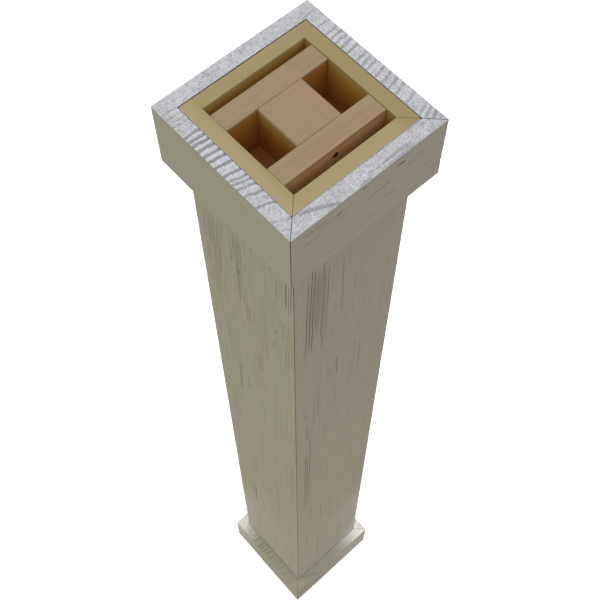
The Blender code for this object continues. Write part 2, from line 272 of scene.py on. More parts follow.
# Colours, linear
SKIN_PALE = (0.475, 0.450, 0.410)
SKIN_DEEP = (0.400, 0.375, 0.335)
SKIN_ROSY = (0.455, 0.405, 0.370)
# Painted shade on the faces that look to the front
SKIN_FRONT_SHADE = (0.420, 0.385, 0.390)
# Painted shade on the base's top, and the column's painted shadow towards its front corner
SKIN_BASE_SHADE = (0.372, 0.346, 0.252)
SKIN_COLUMN_SHADOW = (0.315, 0.280, 0.165)
# Dark in the grooves: partly grain tone, partly painted shade
SKIN_GROOVE = (0.200, 0.175, 0.135)
# The capital's top, painted lighter as light from above, with grey pits that are partly painted shade
CREST_WHITE = (0.594, 0.592, 0.574)
CREST_GREY = (0.275, 0.268, 0.255)
# Painted shade in the nicks of the mitres and in the gap between shaft and collar
SEAM_SHADE = (0.050, 0.042, 0.032)
FOAM_PALE = (0.335, 0.258, 0.112)
FOAM_DEEP = (0.300, 0.228, 0.094)
FOAM_SPECK = (0.120, 0.070, 0.030)
FOAM_FRONT = (0.385, 0.305, 0.148)
# Painted warm shade down the bore: amber, redder on its rear wall and olive near the top
FOAM_AMBER = (0.440, 0.215, 0.026)
FOAM_AMBER_REAR = (0.530, 0.270, 0.038)
FOAM_OLIVE = (0.420, 0.275, 0.070)
SPRUCE_PALE = (0.315, 0.217, 0.113)
SPRUCE_RING = (0.262, 0.170, 0.080)
# A board's front face, painted lighter as light it doesn't get, with a darker rim as painted shade
SPRUCE_FACE = (0.620, 0.372, 0.160)
SPRUCE_FACE_RIM = (0.330, 0.215, 0.102)
# Painted warm shade on the timber down the pockets
SPRUCE_AMBER = (0.360, 0.146, 0.023)
SPRUCE_OLIVE = (0.360, 0.225, 0.045)
HOLE_DARK = (0.035, 0.02, 0.012)
FLOOR_PALE = (0.86, 0.86, 0.86)
SKY_LOW = (0.387, 0.370, 0.328)
SKY_HIGH = (1.30, 1.33, 1.48)
BACKDROP = (1.0, 1.0, 1.0)
FLOOR_BOUNCE = (0.32, 0.28, 0.10)
DAY_BLUE = (0.88, 0.94, 1.0)
FOOT_BLUE = (0.67, 0.75, 1.0)


def smooth_step(value, low, high):
    """0 below low, 1 above high and 3t^2 - 2t^3 between them."""
    share = np.clip((value - low) / (high - low), 0.0, 1.0)
    return share * share * (3.0 - 2.0 * share)


def hills(x, y, seed):
    """Smooth random hills from 0 to 1.

    Every whole-number place has a random height. Between four of them the height is blended by
    3t^2 - 2t^3, first along x and then along y.
    """
    table = np.random.default_rng(seed).random((TABLE_SIZE, TABLE_SIZE))
    column = np.floor(x).astype(int)
    row = np.floor(y).astype(int)
    across = smooth_step(x - column, 0.0, 1.0)
    up = smooth_step(y - row, 0.0, 1.0)
    left = column % TABLE_SIZE
    right = (column + 1) % TABLE_SIZE
    low = row % TABLE_SIZE
    high = (row + 1) % TABLE_SIZE
    near = table[left, low] * (1.0 - across) + table[right, low] * across
    far = table[left, high] * (1.0 - across) + table[right, high] * across
    return near * (1.0 - up) + far * up


def groove_patch(cross, run, patch, seed):
    """Depth of one patch of grooves.

    The patch is cut into lanes of equal pitch. A groove's section is depth * e^-(2d / width)^2, with
    d the distance from the lane's own line, which leans and drifts along the run. It fades out at
    ragged ends, and a random height along each lane breaks it into dashes.
    """
    start, end, low, high, lean, count, width, depth, broken = patch
    share = (run - low * MM) / ((high - low) * MM)
    pitch = (end - start) * MM / count
    drift = LANE_DRIFT * (hills(run / 0.11, np.full_like(run, 0.5), seed) - 0.5)
    lane = (cross - start * MM + lean * MM * (1.0 - share) + drift) / pitch
    number = np.floor(lane)
    nothing = np.zeros_like(lane)
    placed = 0.35 * (hills(number, nothing, seed + 1) - 0.5)
    off_line = (lane - number - 0.5 + placed) * pitch
    groove = np.exp(-((2.0 * off_line / (width * MM)) ** 2))
    raggedness = 0.08 + 0.30 * hills(number, nothing + 3.0, seed + 1)
    ends = smooth_step(share, 0.0, raggedness) * smooth_step(1.0 - share, 0.0, 0.4 - raggedness)
    dashes = smooth_step(hills(number, run / 0.055 + number * 0.37, seed + 2), 0.25, 0.62)
    strength = 0.6 + 0.4 * hills(number, nothing + 7.0, seed + 1)
    inside = (number >= 0) & (number < count)
    return depth * MM * strength * inside * groove * ends * (1.0 - broken * (1.0 - dashes))


def small_knot(cross, run, place, size):
    """Depth of a small knot: a dimple e^-(r^2), with r the distance in knot sizes, longer than wide."""
    reach = np.hypot((cross - place[0]) / size, (run - place[1]) / (2.0 * size))
    return KNOT_DEPTH * np.exp(-(reach**2))


def fine_grain(cross, run, seed):
    """Depth of the shallow grain that covers a face: thin streaks in patches, on slow swells."""
    streak = hills(cross / (3.4 * MM), run / 0.075, seed)
    patchy = hills(cross / (36.0 * MM), run / 0.22, seed + 1)
    swell = hills(cross / (34.0 * MM), run / 0.40, seed + 2)
    thin = smooth_step(streak, 0.62, 0.95) * smooth_step(patchy, 0.45, 0.80)
    return STREAK_DEPTH * thin + SWELL_DEPTH * swell


def scattered_patches(seed, count, width, length):
    """Patches of soft grooves for a plain face, in random places across width and along length, in mm."""
    draw = np.random.default_rng(seed)
    patches = []
    for _ in range(count):
        start = draw.uniform(4.0, width - 46.0)
        spread = draw.uniform(9.0, 40.0)
        low = draw.uniform(0.0, length * 0.8)
        reach = draw.uniform(0.06, 0.20) * length
        lanes = max(1, int(spread / 11.0))
        depth = draw.uniform(0.5, 1.0)
        lean = draw.uniform(-4.0, 4.0)
        patches.append((start, start + spread, low, low + reach, lean, lanes, 6.0, depth, 0.6))
    return patches


def grained_face(cross, run, patches, knots, seed):
    """Depth of a whole face: the fine grain with its patches of grooves and its knots.

    Near a knot the grain bows out: cross grows by its distance from the knot times a bell curve.
    """
    bowed = cross
    for across, height, size in knots:
        sideways = (cross - across * MM) / (3.0 * size * MM)
        endways = (run - height * MM) / (9.0 * size * MM)
        bowed = bowed - 2.0 * size * MM * sideways * np.exp(-(sideways**2) - endways**2)
    depth = fine_grain(bowed, run, seed)
    for number, patch in enumerate(patches):
        depth = np.maximum(depth, groove_patch(bowed, run, patch, seed + 10 * number + 5))
    for across, height, size in knots:
        depth = depth + small_knot(cross, run, (across * MM, height * MM), size * MM)
    return depth


SHAFT_PATCHES = {
    "left": (SHAFT_LEFT_PATCHES, SHAFT_LEFT_KNOTS),
    "front": (SHAFT_FRONT_PATCHES, SHAFT_FRONT_KNOTS),
    "back": (scattered_patches(31, 26, 254.0, 2438.0), []),
    "right": (scattered_patches(32, 26, 254.0, 2438.0), []),
}
COLLAR_PATCHES = {
    "left": (COLLAR_LEFT_PATCHES, COLLAR_LEFT_KNOTS),
    "front": (COLLAR_FRONT_PATCHES, COLLAR_FRONT_KNOTS),
    "back": (scattered_patches(33, 9, 138.0, 313.0), []),
    "right": (scattered_patches(34, 9, 138.0, 313.0), []),
}
FACE_SEEDS = {"front": 100, "right": 400, "back": 700, "left": 1000}


def shaft_face(wall, along, height, top):
    """Depth of the shaft's skin: grain that runs up the face."""
    patches, knots = SHAFT_PATCHES[wall]
    return grained_face(along, height, patches, knots, FACE_SEEDS[wall])


def shaft_top(wall, along, inward, half):
    """Depth of the shaft's cut foam edge: faint saw waves and small hollows."""
    waves = hills(along / (5.0 * MM), inward / (9.0 * MM), FACE_SEEDS[wall] + 51)
    hollows = hills(along / (30.0 * MM), inward / (30.0 * MM), FACE_SEEDS[wall] + 52)
    return 0.07 * MM * waves + 0.12 * MM * hollows


def collar_face(wall, along, height, top):
    """Depth of a collar's skin: grain that runs along the wall, plainer on the left one."""
    patches, knots = COLLAR_PATCHES[wall]
    depth = grained_face(top - height, along, patches, knots, FACE_SEEDS[wall] + 50)
    calm = LEFT_CALM if wall == "left" else 1.0
    granules = hills(along / (4.0 * MM), height / (4.0 * MM), FACE_SEEDS[wall] + 60)
    return calm * (depth + GRANULE_DEPTH * granules)


def furrows_across(along, inward, half, furrows, from_left):
    """Depth of furrows that cross a collar's top.

    Each is depth * (e^-t^2 - lip * e^-(t - 2)^2), with t the distance along the wall from the
    furrow's line in half widths, so that a ridge stands up along both its sides.
    Past LEAN_FROM the lines lean more and more towards the wall's front end as they go inward,
    by LEAN_RATE times the share past it.
    """
    length = 2.0 * half
    depth = np.zeros(np.broadcast(along, inward).shape)
    wobble = 2.6 * MM * (hills(along / (9.0 * MM), inward / (8.0 * MM), 77) - 0.5)
    for share, deep in furrows:
        lean = LEAN_RATE * max(0.0, share - LEAN_FROM) * inward / COLLAR_WALL
        line = (share + lean) * length if from_left else (1.0 - share - lean) * length
        away = np.abs(along + wobble - line) / FURROW_HALF_WIDTH
        section = np.exp(-(away**2)) - FURROW_LIP * np.exp(-((away - 2.0) ** 2))
        depth = depth + deep * MM * section
    return depth


def swept_streaks(along, inward, half):
    """Depth of the front collar's top: one curved streak, a short one, and streaks along its right half."""
    share = along / (2.0 * half)
    sweep = np.clip((share - 0.10) / 0.20, 0.0, 1.0)
    line = COLLAR_WALL * (1.0 - sweep) ** 0.8
    window = smooth_step(share, 0.08, 0.16) * smooth_step(-share, -0.33, -0.28)
    depth = 1.2 * MM * window * np.exp(-(((inward - line) / (3.4 * MM)) ** 2))
    short = smooth_step(share, 0.42, 0.45) * smooth_step(-share, -0.52, -0.48)
    depth = np.maximum(depth, 0.8 * MM * short * np.exp(-(((inward - 3.0 * MM) / (2.4 * MM)) ** 2)))
    lanes = hills(inward / (3.0 * MM), share * 3.0, 88)
    long_ones = smooth_step(share, 0.50, 0.64) * smooth_step(lanes, 0.45, 0.9)
    return np.maximum(depth, 1.0 * MM * long_ones)


def collar_top(wall, along, inward, half):
    """Depth of a collar's top edge: granules all over, and the furrows of that wall.

    The granules are read at the place in plan, so they run on round a moulded corner.
    """
    outward = OUTWARD[wall]
    reach = half - inward
    place = along - half
    x = outward[0] * reach - outward[1] * place
    y = outward[1] * reach + outward[0] * place
    coarse = hills((x + y) / (7.0 * MM), (x - y) / (6.0 * MM), 61)
    fine = hills(x / (2.1 * MM), y / (2.1 * MM), 62)
    swell = hills(x / (26.0 * MM), y / (26.0 * MM), 63)
    depth = TOP_HOLLOW + 0.35 * MM * coarse**1.5 + 0.80 * MM * fine**1.5 + 0.25 * MM * swell
    if wall == "left":
        depth = depth + furrows_across(along, inward, half, LEFT_FURROWS, True)
    if wall == "right":
        depth = depth + furrows_across(along, inward, half, RIGHT_FURROWS, False)
    if wall == "front":
        depth = depth + swept_streaks(along, inward, half)
    return np.maximum(depth, 0.0)


def end_columns(half, closing):
    """Shares of a wall's length near one end, and how far in the surface steps there.

    At a mitre the arris is chamfered. At a moulded corner the three columns lie on an arc from the
    face to the diagonal: distance ease * (1 - sin), step ease * (1 - cos).
    """
    if closing == "mitre":
        distance = MITRE_EASE * np.array([0.0, 0.5, 1.0])
        step_in = MITRE_NICK * np.array([1.0, 0.3, 0.0])
        return distance / (2.0 * half), step_in
    turn = np.radians([45.0, 22.5, 0.0])
    distance = CORNER_EASE * (1.0 - np.sin(turn))
    step_in = CORNER_EASE * (1.0 - np.cos(turn))
    return 0.5 * (1.0 - (half - distance) / (half - step_in)), step_in


def wall_columns(half, spacing, closings):
    """Shares along a wall, closer at its two ends, with the step inward and the nick at each."""
    first, first_step = end_columns(half, closings[0])
    last, last_step = end_columns(half, closings[1])
    count = max(2, int(round(2.0 * half / spacing)))
    middle = np.linspace(first[-1], 1.0 - last[-1], count + 1)[1:-1]
    share = np.concatenate([first, middle, 1.0 - last[::-1]])
    still = np.zeros(len(middle))
    step_in = np.concatenate([first_step, still, last_step[::-1]])
    nick = np.concatenate([
        first_step * (closings[0] == "mitre"),
        still,
        last_step[::-1] * (closings[1] == "mitre"),
    ])
    return share, step_in, nick


def wall_section(thickness, low, high, face_heights, top_steps, inner_heights):
    """The closed outline of a wall, as inward depths and heights, and the distance round it.

    It goes up the outer face, over the top, down the inner face and back along the underside, with
    a small arc at each arris.
    """
    outer_turn = np.radians([30.0, 60.0])
    inner_turn = np.radians([45.0])
    wide = OUTER_ARRIS
    small = INNER_ARRIS
    top_run = np.linspace(wide, thickness - small, top_steps + 1)
    under_run = np.linspace(thickness - small, wide, 4)
    inward = np.concatenate([
        np.zeros(len(face_heights)),
        wide * (1.0 - np.cos(outer_turn)),
        top_run,
        thickness - small * (1.0 - np.sin(inner_turn)),
        np.full(len(inner_heights), thickness),
        thickness - small * (1.0 - np.cos(inner_turn)),
        under_run,
        wide * (1.0 - np.sin(outer_turn)),
    ])
    height = np.concatenate([
        face_heights,
        high - wide * (1.0 - np.sin(outer_turn)),
        np.full(len(top_run), high),
        high - small * (1.0 - np.cos(inner_turn)),
        inner_heights,
        low + small * (1.0 - np.sin(inner_turn)),
        np.full(len(under_run), low),
        low + wide * (1.0 - np.cos(outer_turn)),
    ])
    steps = np.hypot(np.diff(inward, append=inward[0]), np.diff(height, append=height[0]))
    distance = np.concatenate([[0.0], np.cumsum(steps)])
    return inward, height, distance


def wall_surface(wall, half, thickness, centre, top, section, columns, reliefs):
    """Points of one wall as a grid, one column for each share along it and one row for each place
    on its outline, with the depth of the relief at each.

    The face's relief moves a point inward by depth * e^-(inward / fade), and the top's moves it down
    by depth * e^-((top - height) / fade). Each column then lies between the two corner diagonals.
    """
    outward = OUTWARD[wall]
    rightward = (-outward[1], outward[0])
    share, step_in, nick, closings = columns
    share = share[:, None]
    step_in = step_in[:, None]
    inward = section[0][None, :]
    height = section[1][None, :]
    along = half + (half - inward) * (2.0 * share - 1.0)
    level = height + 0.0 * share
    depth_in = inward + 0.0 * share
    face_depth = reliefs[0](wall, along, level, top) * np.exp(-inward / RELIEF_FADE)
    top_depth = reliefs[1](wall, along, depth_in, half) * np.exp(-(top - height) / RELIEF_FADE)
    moved_in = step_in + inward * (1.0 - step_in / thickness) + face_depth
    moved_in = np.minimum(moved_in, thickness)
    moved_down = top_depth + nick[:, None] * np.exp(-(top - height) / RELIEF_FADE)
    reach = half - moved_in
    gap = MITRE_GAP / math.sqrt(2.0)
    begin = -reach + gap * (closings[0] == "mitre")
    finish = reach - gap * (closings[1] == "mitre")
    place = begin + (finish - begin) * share
    points = np.stack([
        centre[0] + outward[0] * reach + rightward[0] * place,
        centre[1] + outward[1] * reach + rightward[1] * place,
        level - moved_down,
    ], axis=-1)
    return points, face_depth, top_depth, along


def put_in(name, data):
    """A new object in the scene that holds the given mesh, lamp or camera."""
    made = bpy.data.objects.new(name, data)
    bpy.context.scene.collection.objects.link(made)
    return made


def solid_of_sections(name, points, uv, finish, hollow):
    """A closed mesh from a grid of points: each row of the grid's second axis closes on itself, and
    the first and last sections are capped. uv has one more row than the grid, for the closing one.
    finish gives the material number of each strip between two rows, and hollow a value per point.
    """
    columns, rows = points.shape[:2]
    index = np.arange(columns * rows).reshape(columns, rows)
    ahead = np.roll(index, -1, axis=1)
    quads = np.stack([index[:-1], index[1:], ahead[1:], ahead[:-1]], axis=-1).reshape(-1, 4)
    loops = np.concatenate([quads.ravel(), index[0], index[-1][::-1]])
    starts = np.concatenate([np.arange(len(quads)) * 4, [len(quads) * 4, len(quads) * 4 + rows]])
    mesh = bpy.data.meshes.new(name)
    mesh.vertices.add(columns * rows)
    mesh.vertices.foreach_set("co", points.astype(np.float32).ravel())
    mesh.loops.add(len(loops))
    mesh.loops.foreach_set("vertex_index", loops.astype(np.int32))
    mesh.polygons.add(len(starts))
    mesh.polygons.foreach_set("loop_start", starts.astype(np.int32))
    strip = np.broadcast_to(finish[None, :], (columns - 1, rows)).ravel()
    mesh.polygons.foreach_set("material_index", np.concatenate([strip, [1, 1]]).astype(np.int32))
    mesh.update(calc_edges=True)
    corner_uv = np.stack([uv[:-1, :-1], uv[1:, :-1], uv[1:, 1:], uv[:-1, 1:]], axis=2).reshape(-1, 2)
    corner_uv = np.concatenate([corner_uv, uv[0, :-1], uv[-1, :-1][::-1]])
    mesh.uv_layers.new(name="grain_run").uv.foreach_set("vector", corner_uv.astype(np.float32).ravel())
    tone = mesh.attributes.new("hollow", "FLOAT", "POINT")
    tone.data.foreach_set("value", hollow.astype(np.float32).ravel())
    mesh.shade_smooth()
    mesh.set_sharp_from_angle(angle=math.radians(40.0))
    return put_in(name, mesh)


def moulded_piece(name, half, centre, thickness, section, top, walls, reliefs, skin_reach, upright, tones):
    """One moulded piece: its walls one after another in plan, the shared corners written once.

    walls lists (wall, spacing, closings). skin_reach is how far in from the outer face the skin
    goes, and bare foam shows past it. upright says that the grain runs up, and not along the path.
    tones gives the depths where a hollow starts to darken, partly as painted shade, and where it is darkest.
    The value passes 1, up to 2, in the nick of a mitre, where the skin is painted dark as shade.
    """
    grids = []
    paths = []
    hollows = []
    walked = 0.0
    for number, (wall, spacing, closings) in enumerate(walls):
        columns = (*wall_columns(half, spacing, closings), closings)
        points, face_depth, top_depth, along = wall_surface(
            wall, half, thickness, centre, top, section, columns, reliefs
        )
        fresh = slice(1 if number else 0, None)
        grids.append(points[fresh])
        paths.append(walked + along[fresh, 0])
        tone = smooth_step(face_depth, tones[0], tones[1]) + smooth_step(top_depth, tones[2], tones[3])
        nicked = columns[2][:, None] / MITRE_NICK
        hollows.append((np.clip(tone, 0.0, 1.0) * (nicked == 0.0) + 2.0 * nicked)[fresh])
        walked += 2.0 * half
    grid = np.concatenate(grids)
    path = np.concatenate(paths)[:, None] + 0.0 * section[2][None, :]
    round_it = section[2][None, :] + 0.0 * path
    uv = np.stack([path, round_it] if upright else [round_it, path], axis=-1)
    between = 0.5 * (section[0] + np.roll(section[0], -1))
    finish = np.where(between < skin_reach, 0, 1)
    piece = solid_of_sections(name, grid, uv, finish, np.concatenate(hollows))
    piece.data.materials.append(limed_skin)
    piece.data.materials.append(bare_foam)
    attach(piece, "root")
    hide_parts(name.replace("_finished", ""))


def corners_of(solid):
    """Lowest and highest corner of one of the solids, as arrays."""
    low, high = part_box(solid)
    return np.array(low), np.array(high)


CHANNEL_CLOSINGS = {
    "right": ("mitre", "corner"),
    "back": ("corner", "corner"),
    "left": ("corner", "mitre"),
}
PANEL_CLOSINGS = ("mitre", "mitre")


def channel_walls(fine, coarse_right, coarse_back):
    """The three walls of a channel in the order of the walk, with the column spacing of each."""
    spacings = {"right": coarse_right, "back": coarse_back, "left": fine}
    return [(wall, spacings[wall], closings) for wall, closings in CHANNEL_CLOSINGS.items()]


def build_collar(name, fine, channel_rows, panel_rows):
    """One collar: its channel and its front panel, as tall as the node."""
    low, high = corners_of(name + "_channel")
    half = high[0]
    centre = (0.0, 0.0)
    near_top = high[2] - OUTER_ARRIS - np.array([6.0, 3.6, 2.0, 1.0, 0.0]) * MM
    inner = np.linspace(high[2] - INNER_ARRIS - 5.0 * MM, low[2] + INNER_ARRIS, 5)
    inner = np.concatenate([[high[2] - INNER_ARRIS], inner])
    tones = (0.30 * MM, 1.4 * MM, 0.1 * MM, 2.2 * MM)
    finish = ((collar_face, collar_top), COLLAR_WALL - 0.3 * MM, False, tones)
    pieces = [
        ("_channel_finished", channel_rows, channel_walls(fine, fine, 2.2 * MM)),
        ("_front_panel_finished", panel_rows, [("front", fine, PANEL_CLOSINGS)]),
    ]
    for ending, rows, walls in pieces:
        face = np.concatenate([np.linspace(low[2] + OUTER_ARRIS, near_top[0], rows)[:-1], near_top])
        section = wall_section(COLLAR_WALL, low[2], high[2], face, 22, inner)
        moulded_piece(name + ending, half, centre, COLLAR_WALL, section, high[2], walls, *finish)


def build_shaft():
    """The shaft: its channel and its front panel, with closer rows near the top."""
    low, high = corners_of("shaft_channel")
    half = 0.5 * (high[0] - low[0])
    centre = (0.5 * (high[0] + low[0]), high[1] - half)
    growth = np.linspace(0.0, 1.0, 196)
    face = low[2] + OUTER_ARRIS + (high[2] - low[2] - 2.0 * OUTER_ARRIS) * (1.30 * growth - 0.30 * growth**2)
    inner = np.linspace(high[2] - 6.0 * MM, low[2] + INNER_ARRIS, 8)
    inner = np.concatenate([[high[2] - INNER_ARRIS], inner])
    section = wall_section(SHAFT_WALL, low[2], high[2], face, 8, inner)
    tones = (0.26 * MM, 1.4 * MM, 0.5 * MM, 3.0 * MM)
    shape = (half, centre, SHAFT_WALL, section, high[2])
    finish = ((shaft_face, shaft_top), 0.3 * MM, True, tones)
    moulded_piece("shaft_channel_finished", *shape, channel_walls(0.95 * MM, 3.4 * MM, 3.4 * MM), *finish)
    panel = [("front", 0.85 * MM, PANEL_CLOSINGS)]
    moulded_piece("shaft_front_panel_finished", *shape, panel, *finish)


def eased_rectangle(half_width, half_height, radii, spacing):
    """Points round a rectangle whose corners are arcs, counter-clockwise from its right side's foot.

    radii lists the four corner radii: lower right, upper right, upper left and lower left.
    """
    signs = [(1.0, -1.0), (1.0, 1.0), (-1.0, 1.0), (-1.0, -1.0)]
    arcs = []
    for number, (side, level) in enumerate(signs):
        radius = radii[number]
        turn = np.radians(90.0 * (number - 1)) + np.radians(np.linspace(0.0, 90.0, 5))
        arcs.append(np.stack([
            side * (half_width - radius) + radius * np.cos(turn),
            level * (half_height - radius) + radius * np.sin(turn),
        ], axis=-1))
    outline = []
    for arc, following in zip(arcs, arcs[1:] + arcs[:1]):
        side_run = following[0] - arc[-1]
        steps = max(2, int(round(float(np.hypot(*side_run)) / spacing)))
        share = np.linspace(0.0, 1.0, steps + 1)[1:-1, None]
        outline += [arc, arc[-1] + side_run * share]
    return np.concatenate(outline)


def timber(name, solid, grain_axis, radii, spacing, material, seed):
    """One planed timber in the place of a solid: an eased rectangle carried along the grain.

    Near each end the outline draws in along a quarter circle of TIMBER_END, and the end is closed by
    the same outline shrunk in four rings towards its centre. A slow random wave of up to TIMBER_WAVE
    keeps the faces from being dead flat, always inward.
    """
    low, high = corners_of(solid)
    middle = 0.5 * (low + high)
    half = 0.5 * (high - low)
    cross_axis = 1 - grain_axis
    outline = eased_rectangle(half[cross_axis], half[2], radii, spacing)
    turn = np.radians([0.0, 30.0, 60.0, 90.0])
    near_end = half[grain_axis] - TIMBER_END * (1.0 - np.sin(turn))
    draw_in = TIMBER_END * (1.0 - np.cos(turn))
    body = np.linspace(-near_end[0], near_end[0], max(3, int(2.0 * half[grain_axis] / spacing)))[1:-1]
    station = np.concatenate([-near_end[::-1], body, near_end])
    inset = np.concatenate([draw_in[::-1], np.zeros(len(body)), draw_in])
    shrink = np.array([0.85, 0.6, 0.3, 0.04])
    size = np.array([half[cross_axis], half[2]])
    rings = outline[None] * (1.0 - inset[:, None, None] / size)
    wave = hills(station[:, None] / 0.05 + 9.0, np.arange(len(outline))[None, :] * spacing / 0.03, seed)
    rings = rings * (1.0 - TIMBER_WAVE * wave[..., None] / size)
    first = rings[0][None] * shrink[::-1, None, None]
    last = rings[-1][None] * shrink[:, None, None]
    rings = np.concatenate([first, rings, last])
    station = np.concatenate([np.full(4, station[0]), station, np.full(4, station[-1])])
    points = np.empty((*rings.shape[:2], 3))
    points[..., grain_axis] = middle[grain_axis] + station[:, None]
    points[..., cross_axis] = middle[cross_axis] + rings[..., 0] * (1.0 if grain_axis == 1 else -1.0)
    points[..., 2] = middle[2] + rings[..., 1]
    around = np.arange(len(outline) + 1) * spacing
    uv = np.stack(np.broadcast_arrays(around[None, :], station[:, None]), axis=-1)
    finish = np.zeros(len(outline), int)
    piece = solid_of_sections(name, points, uv, finish, np.zeros(points.shape[:2]))
    piece.data.materials.append(material)
    piece.data.polygons.foreach_set("material_index", np.zeros(len(piece.data.polygons), np.int32))
    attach(piece, "root")
    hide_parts(solid)
    return piece


def drill_screw_hole(board, solid):
    """Cut the blind round hole into the board's front face, halfway along it."""
    low, high = corners_of(solid)
    turn = np.linspace(0.0, 2.0 * math.pi, HOLE_SIDES, endpoint=False)
    ring = 0.5 * HOLE_DIAMETER * np.stack([np.cos(turn), np.zeros(HOLE_SIDES), np.sin(turn)], axis=-1)
    centre = np.array([0.5 * (low[0] + high[0]), low[1], high[2] - HOLE_DROP])
    points = np.stack([centre + ring + np.array([0.0, y, 0.0]) for y in (-2.0 * MM, HOLE_DEPTH)])
    uv = np.zeros((2, HOLE_SIDES + 1, 2))
    plain = np.zeros(HOLE_SIDES, int)
    cutter = solid_of_sections("hole_cutter", points, uv, plain, np.zeros((2, HOLE_SIDES)))
    cutter.data.materials.append(bored_wood)
    board.data.materials.append(bored_wood)
    cut = board.modifiers.new("screw_hole", "BOOLEAN")
    cut.operation = "DIFFERENCE"
    cut.solver = "EXACT"
    cut.material_mode = "TRANSFER"
    cut.object = cutter
    depsgraph = bpy.context.evaluated_depsgraph_get()
    board.data = bpy.data.meshes.new_from_object(board.evaluated_get(depsgraph), depsgraph=depsgraph)
    board.modifiers.remove(cut)
    bpy.data.objects.remove(cutter)


def node(tree, kind, feeds=None, **settings):
    """Add a shader node. feeds maps an input's name or number to a value or to another output."""
    made = tree.nodes.new(kind)
    for name, value in settings.items():
        setattr(made, name, value)
    for key, value in (feeds or {}).items():
        if isinstance(value, bpy.types.NodeSocket):
            tree.links.new(value, made.inputs[key])
        else:
            made.inputs[key].default_value = value
    return made


def painted(value):
    """A colour with full cover, or another node's output as it is."""
    return (*value, 1.0) if isinstance(value, tuple) else value


def mixed(tree, share, first, second):
    """A colour between two others, by a share from 0 to 1."""
    feeds = {0: share, 6: painted(first), 7: painted(second)}
    return node(tree, "ShaderNodeMix", feeds, data_type="RGBA").outputs[2]


def coated(tree, colour, coats):
    """A colour with coats laid over it in turn, each given as its share from 0 to 1 and its colour."""
    for share, coat in coats:
        colour = mixed(tree, share, colour, coat)
    return colour


def tinted(colour, tint):
    """A colour with each of its three parts multiplied by the tint's."""
    return tuple(value * share for value, share in zip(colour, tint))


def sums(tree, operation, first, second=0.0):
    """One step of arithmetic on one or two values, such as ADD or ABSOLUTE."""
    return node(tree, "ShaderNodeMath", {0: first, 1: second}, operation=operation).outputs[0]


def product(tree, first, second):
    """Two values multiplied."""
    return sums(tree, "MULTIPLY", first, second)


def ranged(tree, value, low, high, to_low=0.0, to_high=1.0):
    """The value moved from one range to another, smoothly, and held inside it."""
    feeds = {"Value": value, "From Min": low, "From Max": high, "To Min": to_low, "To Max": to_high}
    return node(tree, "ShaderNodeMapRange", feeds, interpolation_type="SMOOTHSTEP").outputs["Result"]


def parts_of(tree, place):
    """The three numbers of a place, called X, Y and Z."""
    return node(tree, "ShaderNodeSeparateXYZ", {0: place}).outputs


def joined(tree, x, y, z):
    """A place made from three numbers."""
    return node(tree, "ShaderNodeCombineXYZ", {0: x, 1: y, 2: z}).outputs[0]


def noise(tree, place, scale, detail, roughness=0.5):
    """Random clouds from 0 to 1, smaller as the scale goes up."""
    feeds = {"Vector": place, "Scale": scale, "Detail": detail, "Roughness": roughness}
    return node(tree, "ShaderNodeTexNoise", feeds).outputs["Fac"]


def new_group(name, numbers):
    """A new node group that is given a place and some numbers, here with their usual values."""
    group = bpy.data.node_groups.new(name, "ShaderNodeTree")
    group.interface.new_socket(name="Place", in_out="INPUT", socket_type="NodeSocketVector")
    for label, value in numbers.items():
        socket = group.interface.new_socket(name=label, in_out="INPUT", socket_type="NodeSocketFloat")
        socket.default_value = value
    return group, group.nodes.new("NodeGroupInput").outputs


def give_out(group, results):
    """Name the values that a group gives, and return the group."""
    for label in results:
        group.interface.new_socket(name=label, in_out="OUTPUT", socket_type="NodeSocketFloat")
    node(group, "NodeGroupOutput", results)
    return group


def long_streaks_group():
    """Streaks that follow the grain: noise stretched by dividing the place by a width and a length."""
    group, given = new_group("long_streaks", {"Width": 0.002, "Length": 0.08})
    apart = parts_of(group, given["Place"])
    cross = sums(group, "DIVIDE", apart["X"], given["Width"])
    run = sums(group, "DIVIDE", apart["Y"], given["Length"])
    depth = sums(group, "DIVIDE", apart["Z"], given["Width"])
    place = joined(group, cross, run, depth)
    broad = noise(group, place, scale=1.0, detail=3.0, roughness=0.6)
    thin = noise(group, place, scale=3.7, detail=2.0)
    return give_out(group, {"Streak": broad, "Fibre": thin})


def grit_group():
    """Fine granules, clouds 50 times as wide and sparse specks: three noises of the place."""
    group, given = new_group("grit", {"Size": 0.001})
    place = given["Place"]
    scale = sums(group, "DIVIDE", 1.0, given["Size"])
    granule = noise(group, place, scale, detail=4.0)
    cloud = noise(group, place, product(group, scale, 0.02), detail=4.0)
    sparse = product(group, scale, 0.11)
    speck = node(group, "ShaderNodeTexVoronoi", {"Vector": place, "Scale": sparse}).outputs["Distance"]
    spot = ranged(group, speck, 0.10, 0.16, 1.0, 0.0)
    return give_out(group, {"Granule": granule, "Cloud": cloud, "Speck": spot})


